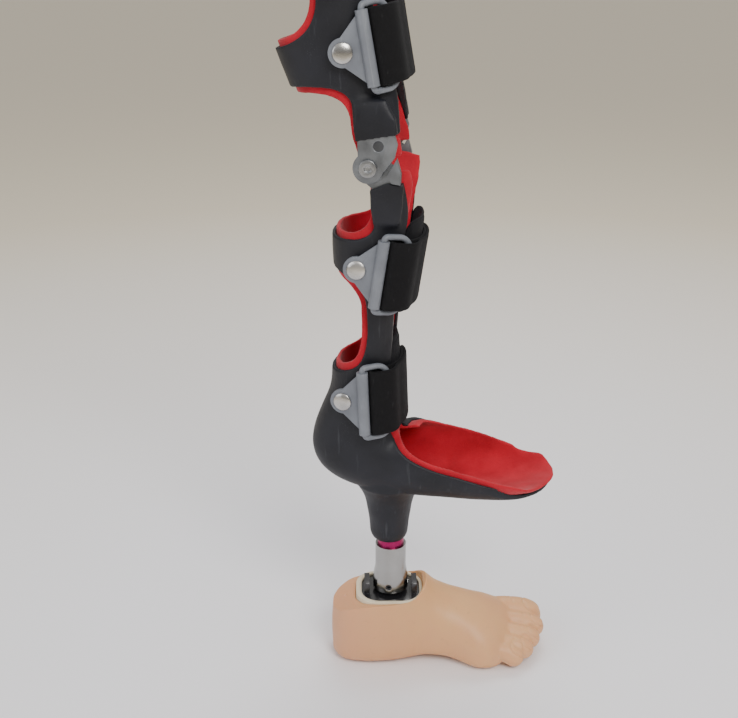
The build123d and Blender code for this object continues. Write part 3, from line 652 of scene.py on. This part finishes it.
def strap_path(place):
    """Middle line of the webbing, from its rivet round the front, through the ring and back on itself."""
    tube_angle = place.angle_of(place.tube)
    bow_angle = place.angle_of(place.bow)
    inner = STRAP_LIFT + STRAP / 2
    outer = STRAP_LIFT + 2 * STRAP + 2 * WIRE + 0.3 - STRAP / 2
    joined = STRAP_LIFT + 1.5 * STRAP + 0.05
    clear = TUBE_RADIUS + STRAP / 2 + 1.0
    points = [place.oval(angle, inner) for angle in np.linspace(math.radians(-101), tube_angle, 300)]
    tube = place.tube
    points = [p for p in points if p[0] < 0 and p[1] > 0 or np.linalg.norm(p - tube) > clear + 1.5]
    back = []
    landing = bow_angle - LANDING
    for angle in np.linspace(tube_angle, math.radians(-35), 260):
        if angle > bow_angle:
            lift = outer
        elif angle > landing:
            f = (bow_angle - angle) / (bow_angle - landing)
            lift = outer + (joined - outer) * f * f * (3 - 2 * f)
        else:
            lift = joined
        back.append(place.oval(angle, lift))
    back = [p for p in back if np.linalg.norm(p - tube) > clear or p[0] > tube[0] + clear]
    # a soft U joins the two layers beside the tube
    first = points[-1]
    second = back[0]
    middle = (first + second) / 2
    along = middle - place.bow
    along /= np.linalg.norm(along)
    radius = np.linalg.norm(second - first) / 2
    bend = []
    across = (first - second) / (2 * radius)
    for k in range(1, 12):
        angle = math.pi * k / 12
        bend.append(middle + across * radius * math.cos(angle) + along * radius * 0.55 * math.sin(angle))
    return even_path(points + bend + back, PATH_STEP)


def sweep_band(place, path, seed):
    """A woven band along a path: flat faces with soft selvedges and a slightly uneven surface."""
    half = STRAP_WIDTH / 2
    edge = STRAP / 2
    flat = STRAP_WIDTH - STRAP
    profile = []
    for k in range(BAND_COLUMNS + 1):
        profile.append((edge, -half + edge + flat * k / BAND_COLUMNS))
    for k in range(1, 6):
        angle = math.pi * k / 6
        profile.append((edge * math.cos(angle), half - edge + edge * math.sin(angle)))
    for k in range(BAND_COLUMNS + 1):
        profile.append((-edge, half - edge - flat * k / BAND_COLUMNS))
    for k in range(1, 6):
        angle = math.pi * k / 6
        profile.append((-edge * math.cos(angle), -half + edge - edge * math.sin(angle)))
    mesh = bpy.data.meshes.new("band")
    shape = bmesh.new()
    uv = shape.loops.layers.uv.new("weave")
    rows = []
    count = len(path)
    total = len(profile)
    for k, point in enumerate(path):
        before = path[max(k - 1, 0)]
        after = path[min(k + 1, count - 1)]
        along = after - before
        along = along / np.linalg.norm(along)
        normal = np.array((along[1], -along[0]))
        end = min(k, count - 1 - k)
        trim = 1.0 - 0.10 * max(0.0, 1 - end / 4) ** 2
        row = []
        for out, height in profile:
            wave = noise.noise(Vector((k * 0.045 + seed, height * 0.05, out * 0.2)))
            shift = (0.10 * wave - 0.05 * abs(height) / half) * (1 if abs(out) > 0.5 * edge else 0.3)
            spot = point + normal * (out + math.copysign(shift, out) if out else 0)
            row.append(shape.verts.new(place.world(spot, height * trim)))
        rows.append(row)
    for k in range(count - 1):
        for j in range(total):
            n = (j + 1) % total
            face = shape.faces.new((rows[k][j], rows[k][n], rows[k + 1][n], rows[k + 1][j]))
            for loop, (row, column) in zip(face.loops, ((k, j), (k, j + 1), (k + 1, j + 1), (k + 1, j))):
                loop[uv].uv = (row * 0.0009, column * 0.0019)
    shape.faces.new(list(reversed(rows[0])))
    shape.faces.new(rows[-1])
    bmesh.ops.recalc_face_normals(shape, faces=shape.faces)
    shape.to_mesh(mesh)
    shape.free()
    mesh.shade_smooth()
    mesh.set_sharp_from_angle(angle=math.radians(50))
    return mesh


def outer_side(path):
    """1 or -1: the side of the path's last stretch that faces away from the leg."""
    along = path[-1] - path[-2]
    return math.copysign(1, along[1] * path[-1][0] - along[0] * path[-1][1])


def stitch_rows(place, path):
    """Rows of thread on the outer layer: along both selvedges near the free end, and across it."""
    shape = bmesh.new()
    half = STRAP_WIDTH / 2
    outward = outer_side(path)
    seam = path[-34:-3]
    runs = []
    for side in (-1, 1):
        stitches = zip(seam[::STITCH_STEP], seam[1::STITCH_STEP])
        runs += [(point, after - point, side * (half - SEAM_INSET), False) for point, after in stitches]
    for row in (seam[-2], seam[2]):
        after = row + (seam[-1] - seam[-3])
        count = int((STRAP_WIDTH - 10) / STITCH_SPACING)
        runs += [(row, after - row, (k - count / 2) * STITCH_SPACING, True) for k in range(count + 1)]
    for point, along, height, across in runs:
        along = along / np.linalg.norm(along)
        normal = np.array((along[1], -along[0]))
        spot = point + normal * outward * (STRAP / 2 + 0.02)
        made = bmesh.ops.create_uvsphere(shape, u_segments=8, v_segments=6, radius=1.0)["verts"]
        for vertex in made:
            a, b, c = vertex.co
            thick, long = b * 0.28, a * STITCH_LENGTH / 2
            run, rise = (thick, long) if across else (long, thick)
            flat = spot + along * run + normal * c * 0.2
            vertex.co = place.world(flat, height + rise)
    bmesh.ops.recalc_face_normals(shape, faces=shape.faces)
    mesh = bpy.data.meshes.new("thread")
    shape.to_mesh(mesh)
    shape.free()
    mesh.shade_smooth()
    return mesh


def name_number(name):
    """A small fixed number for a name."""
    return sum(ord(letter) for letter in name) % 17


def make_strap(name, paints):
    """A strap round the leg and through its ring, and its stitching."""
    place = StrapPlace(name)
    path = strap_path(place)
    mesh = sweep_band(place, path, name_number(name))
    piece = new_piece(name + "_webbing", mesh, None, paints["loop_pile"],
                      (name + "_strap", name + "_strap_end"))
    start = place.world(place.bow, 0)
    end = place.world(place.bow + BEND_DIRECTION * BEND_LENGTH, 0)
    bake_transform(piece)
    thread = stitch_rows(place, path)
    new_piece(name + "_stitching", thread, place.body, paints["webbing"])


# ---------------------------------------------------------------- pads
# half angle, rise above the strap's middle and height of the pad
PADS = {"calf": (math.radians(50), 3, 70), "ankle": (math.radians(44), 14, 56)}
PAD_THICKNESS = 4.0
PAD_COLUMNS = 96
PAD_ROWS = 64


def make_pad(name, paints):
    """A crowned pad behind the strap, with a bound edge and rounded corners."""
    place = StrapPlace(name)
    reach, raised, height = PADS[name]
    columns = PAD_COLUMNS
    rows = PAD_ROWS
    shape = bmesh.new()
    skins = []
    for outward in (1, -1):
        grid = []
        for j in range(rows + 1):
            line = []
            for i in range(columns + 1):
                u = -1 + 2 * i / columns
                v = -1 + 2 * j / rows
                # pull the corners in, so that they are round
                corner = 1 - 0.13 * (abs(u) * abs(v)) ** 5
                edge = max(abs(u), abs(v))
                crown = (1 - edge ** 6) * 0.5 + (1 - edge ** 24) * 0.5
                groove = 0.45 * math.exp(-((1 - edge) / 0.035 - 2.2) ** 2)
                thick = 0.5 + (PAD_THICKNESS / 2 - 0.5) * crown - groove * (edge > 0.8)
                thick += 0.16 * noise.noise(Vector((u * 5, v * 4, 3.0 + outward)))
                angle = reach * u * corner
                middle = STRAP_LIFT - 0.35 - PAD_THICKNESS / 2
                lift = middle + outward * max(thick, 0.12)
                spot = place.oval(angle, lift)
                line.append(shape.verts.new(place.world(spot, raised + height / 2 * v * corner)))
            grid.append(line)
        skins.append(grid)
    for grid in skins:
        for j in range(rows):
            for i in range(columns):
                shape.faces.new((grid[j][i], grid[j][i + 1], grid[j + 1][i + 1], grid[j + 1][i]))
    loops = []
    for grid in skins:
        loop = grid[0][:-1] + [line[-1] for line in grid[:-1]]
        loop += list(reversed(grid[-1]))[:-1] + [line[0] for line in reversed(grid)][:-1]
        loops.append(loop)
    for k in range(len(loops[0])):
        n = (k + 1) % len(loops[0])
        shape.faces.new((loops[0][k], loops[0][n], loops[1][n], loops[1][k]))
    bmesh.ops.recalc_face_normals(shape, faces=shape.faces)
    mesh = bpy.data.meshes.new("pad")
    shape.to_mesh(mesh)
    shape.free()
    mesh.shade_smooth()
    paint = paints["pad_cloth"]
    piece = new_piece(name + "_pad_cover", mesh, place.body, paint, (name + "_pad",))


# ---------------------------------------------------------------- foot
FOOT_YAW = math.radians(7)
# X, half width, bottom, top and Y shift of each section along the foot, in millimetres
FOOT_SECTIONS = [
    (-47.8, 6, 14, 34, -2), (-46.8, 13, 6, 50, -2), (-43, 20.5, 1.5, 66, -2), (-34, 26, 0, 80, -2),
    (-15, 29, 0, 88, -2), (4, 28.5, 0.5, 88, -1), (16, 27.5, 2.5, 79, 0), (27, 27, 4.5, 70, 1),
    (36, 27.5, 5, 61, 1), (48, 29, 4.5, 54.5, 1), (60, 32, 2.5, 50, 0), (74, 36, 0, 45, -1),
    (86, 36.5, 0, 39, -1), (94, 34.5, 1, 33.5, -1), (100, 31, 4, 27, -1), (105, 25, 8, 21, 0),
]
WIDEST = 0.36  # height of the widest place, as a share of the section
INSTEP_POWER = 2.1
SOLE_POWER = 4.2
FOOT_STEPS = 150
FOOT_AROUND = 72
FOOT_VOXEL = 0.8
FOOT_SMOOTHING = 9
BALLS_PER_TOE = 14
# base X, Y, then tip X, Y, height and radius of each toe, from the big toe outwards
TOES = [
    (84, 19, 116, 20.5, 18.0, 12.3), (86, 5, 120, 4.5, 17.0, 8.6), (82, -7.5, 115.5, -8.5, 14.5, 8.2),
    (76, -17.5, 109, -20, 12.0, 8.0), (72, -24, 100, -28, 10.2, 8.2),
]
# X and height of the stepped top round the pocket
LEDGE = [
    (-70, 41), (-46, 47), (-30, 53.5), (-14, 57), (8, 57.5), (20, 60), (28, 66), (36, 76), (60, 120),
]
POCKET = (-1.0, 27.0, 24.0, 18.0)  # middle X, half length, half width and corner radius


def foot_form():
    """The body of the foot as a closed grid, narrow on top and flat below, sheared along the toes' roots."""
    table = np.array(FOOT_SECTIONS, float)
    xs = np.linspace(table[0, 0], table[-1, 0], FOOT_STEPS)
    values = np.stack([np.interp(xs, table[:, 0], table[:, k]) for k in range(1, 5)], axis=1)
    for _ in range(14):
        values[2:-2] = 0.5 * values[2:-2] + 0.25 * (values[1:-3] + values[3:-1])
    vertices = []
    faces = []
    around = FOOT_AROUND
    for x, (half_width, low, high, shift) in zip(xs, values):
        middle = low + WIDEST * (high - low)
        for k in range(around):
            angle = 2 * math.pi * k / around
            c = math.cos(angle)
            s = math.sin(angle)
            power = INSTEP_POWER if s > 0 else SOLE_POWER
            rise = (high - middle) if s > 0 else (middle - low)
            y = shift + math.copysign(half_width * abs(c) ** (2 / power), c)
            z = middle + math.copysign(rise * abs(s) ** (2 / power), s)
            slant = 0.30 * y * min(max((x - 40) / 60, 0.0), 1.0)
            vertices.append((x + slant, y, z))
    for row in range(len(xs) - 1):
        for k in range(around):
            a = row * around + k
            b = row * around + (k + 1) % around
            faces.append((a, b, b + around, a + around))
    faces.append(tuple(range(around - 1, -1, -1)))
    faces.append(tuple(range((len(xs) - 1) * around, len(xs) * around)))
    return vertices, faces


def add_ball(shape, x, y, z, radius):
    """A ball of the toes' chains."""
    made = bmesh.ops.create_icosphere(shape, subdivisions=3, radius=radius)
    bmesh.ops.translate(shape, verts=made["verts"], vec=(x, y, z))


def toe_balls(shape):
    """Each toe is a chain of balls that narrows behind the tip and arches a little."""
    for base_x, base_y, tip_x, tip_y, height, radius in TOES:
        for k in range(BALLS_PER_TOE + 1):
            f = k / BALLS_PER_TOE
            waist = 1 - 0.13 * math.sin(math.pi * min(f * 1.15, 1.0))
            arch = 4.0 * math.sin(math.pi * f) + 4.0 * (1 - f)
            x = base_x + (tip_x - base_x) * f
            y = base_y + (tip_y - base_y) * f
            add_ball(shape, x, y, height + arch, radius * waist)


def soft_lower(value, limit, blend):
    """The lower of two heights, with a rounded edge."""
    h = np.clip(0.5 + 0.5 * (limit - value) / blend, 0, 1)
    return limit * (1 - h) + value * h - blend * h * (1 - h)


def foot_details(mesh):
    """Ledge, pocket, nails and creases, by moving points of the foot in its own frame."""
    points = points_of(mesh)
    x, y, z = points[:, 0].copy(), points[:, 1].copy(), points[:, 2].copy()
    ledge = np.array(LEDGE, float)
    top = np.interp(x, ledge[:, 0], ledge[:, 1])
    z = soft_lower(z, top, 1.3)
    middle_x, half_long, half_wide, corner = POCKET
    dx = np.maximum(np.abs(x - middle_x) - (half_long - corner), 0)
    dy = np.maximum(np.abs(y) - (half_wide - corner), 0)
    inside = np.hypot(dx, dy) < corner + 0.2
    z = np.where(inside & (z > 40), 44.0, z)
    z = np.maximum(z, 0.0)
    points = np.stack((x, y, z), axis=1)
    move_points(mesh, points)
    normals = normals_of(mesh)
    lift = np.zeros(len(points))
    for _, _, tip_x, tip_y, height, radius in TOES:
        along = (x - (tip_x + radius * 0.30)) / (radius * 0.62)
        across = (y - tip_y) / (radius * 0.66)
        spread = np.sqrt(np.abs(along) ** 2.8 + np.abs(across) ** 2.8)
        top = z > height + radius * 0.30
        nail = 0.30 * (spread < 0.9) - 0.55 * np.exp(-((spread - 1.0) / 0.13) ** 2)
        lift += top * nail * (spread < 1.6)
        for back, depth in ((1.05, 0.40), (1.35, 0.25)):
            fold = np.exp(-((x - (tip_x - radius * back)) / 0.9) ** 2)
            fold *= np.exp(-((y - tip_y) / (radius * 0.75)) ** 2)
            lift -= (z > height + radius * 0.4) * depth * fold
    # a small locating dimple on the ledge behind the pocket
    lift -= 1.6 * np.exp(-(((x + 36.5) ** 2 + (y + 1) ** 2) / 0.9 ** 2)) * (z > 48)
    move_points(mesh, points + normals * lift[:, None])


def make_foot(paints):
    """The soft foot: its form and toes fused, smoothed, then detailed."""
    vertices, faces = foot_form()
    mesh = bpy.data.meshes.new("foot")
    mesh.from_pydata(vertices, [], faces)
    shape = bmesh.new()
    shape.from_mesh(mesh)
    toe_balls(shape)
    bmesh.ops.recalc_face_normals(shape, faces=shape.faces)
    shape.to_mesh(mesh)
    shape.free()
    mesh = remeshed(mesh, FOOT_VOXEL, FOOT_SMOOTHING)
    foot_details(mesh)
    ripple(mesh, 0.22, 11, 3)
    mesh.transform(Matrix.Rotation(FOOT_YAW, 4, "Z") @ Matrix.Scale(MM, 4))
    mesh.shade_smooth()
    new_piece("foot_cover_skin", mesh, "foot", paints["flesh"], ("foot_cover",))


# ---------------------------------------------------------------- put together
make_camera()
make_studio()
PAINTS = make_paints()

UP_THIGH = (math.sin(THIGH_TILT), 0, math.cos(THIGH_TILT))
COVER_TOP = thigh_point(8, 44)
shell_piece("shank_shell", "shank", PAINTS["laminate"], 0.85, 3, 0.22, 18, 1,
            [((0, 0, 370), (0, 0, 1), 8, 33)])
shell_piece("thigh_shell", "thigh", PAINTS["laminate"], 0.85, 3, 0.22, 18, 2,
            [((COVER_TOP[0], 0, COVER_TOP[1]), UP_THIGH, 9, 36)])
shell_piece("shank_liner", "shank", PAINTS["red_foam"], 0.80, 5, 0.35, 9, 3,
            lobe=(397, 38, 6.5, 423, 1),
            relaxed=[((100, -60, 140), (140, 60, 210), 90), ((4, -60, 346), (50, 60, 440), 45)])
shell_piece("thigh_liner", "thigh", PAINTS["red_foam"], 0.80, 5, 0.35, 9, 4,
            lobe=(455, 34, 4.5, 433, -1),
            relaxed=[((0, -60, 405), (50, 60, 482), 45)])
make_foot(PAINTS)

# node, body, slot, paint and bevel in millimetres of each hard part
HARD = [
    ("foot_keel", "foot", "keel", "keel", 0.5), ("foot_bolt", "foot", "fastener", "fastener", 0.3),
    ("foot_foam_core", "foot", "cream_foam", "cream_foam", 0.5),
    ("foot_adapter", "foot", "black_gloss", "black_gloss", 0.8),
    ("tube_clamp", "clamp", "alloy", "alloy", 0.3),
    ("clamp_set_screws", "clamp", "fastener", "dark_steel", 0.15),
    ("clamp_screw", "clamp", "fastener", "fastener", 0.3), ("pylon_tube", "shank", "magenta", "magenta", 0.3),
    ("lamination_anchor", "shank", "alloy", "alloy", 0.3),
]
KNEE_PAINTS = {
    "upper_bar": "knee_steel",
    "pivot_screw": "pale_steel",
    "pivot_nut": "fastener",
    "stop_screw": "dark_steel",
}
for side in ("lateral", "medial"):
    for part in KNEE_PAINTS:
        slot = "knee_steel" if part == "upper_bar" else "fastener"
        HARD.append((f"{side}_{part}", "thigh", slot, KNEE_PAINTS[part], 0.35))
    HARD.append((f"{side}_lower_bar", "shank", "knee_steel", "knee_steel", 0.35))
    HARD.append((f"{side}_bushing", "shank", "bearing", "bearing", 0.2))
for name, (strap_body, *_) in STRAPS.items():
    HARD.append((f"{name}_chafe", strap_body, "grey_plastic", "grey_plastic", 0.6))
    HARD.append((f"{name}_ring", f"{name}_ring", "grey_plastic", "grey_plastic", 0.2))
    HARD.append((f"{name}_rivet", strap_body, "fastener", "fastener", 0.4))
    HARD.append((f"{name}_anchor_rivet", strap_body, "fastener", "fastener", 0.4))
for node, body, slot, paint, bevel in HARD:
    hard_piece(node, body, PAINTS[paint], bevel)

for name in STRAPS:
    make_strap(name, PAINTS)
for name in PADS:
    make_pad(name, PAINTS)
